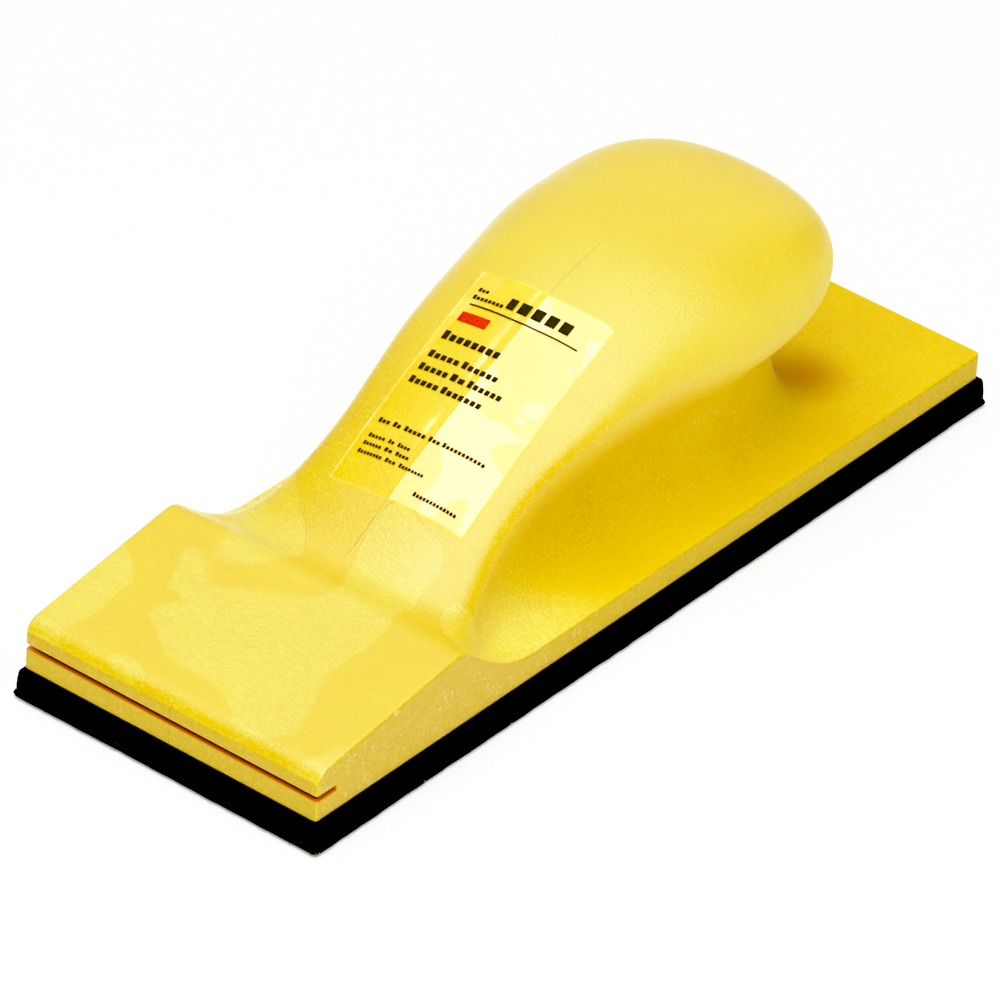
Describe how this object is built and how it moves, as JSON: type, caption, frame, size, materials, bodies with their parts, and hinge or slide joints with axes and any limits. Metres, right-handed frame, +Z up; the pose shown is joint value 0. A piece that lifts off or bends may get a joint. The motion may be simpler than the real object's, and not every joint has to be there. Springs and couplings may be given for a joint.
{
  "type": "hand sanding block",
  "caption": "Long hand sanding block: moulded yellow body with a palm grip and slotted nose, on a black foam pad with a hook-and-loop face.",
  "frame": {"origin": "centre of the working face, where the block stands", "axes": "+X from the slotted nose to the heel, +Y across the block, +Z up out of the working face"},
  "size_m": [0.197, 0.07, 0.0588],
  "materials": {
    "moulded_polyurethane": "satin moulded skin with pale flow marks and fine pits",
    "clear_label": "clear glossy film with plain printed bars",
    "adhesive": "thin pressure-sensitive film",
    "black_foam": "matt closed-cell foam",
    "hook_fabric": "black woven backing with short hooks"
  },
  "bodies": {
    "root": {"body": "moulded_polyurethane", "label_film": "clear_label", "body_adhesive": "adhesive", "foam_pad": "black_foam", "face_adhesive": "adhesive", "hook_face": "hook_fabric"}
  },
  "joints": []
}
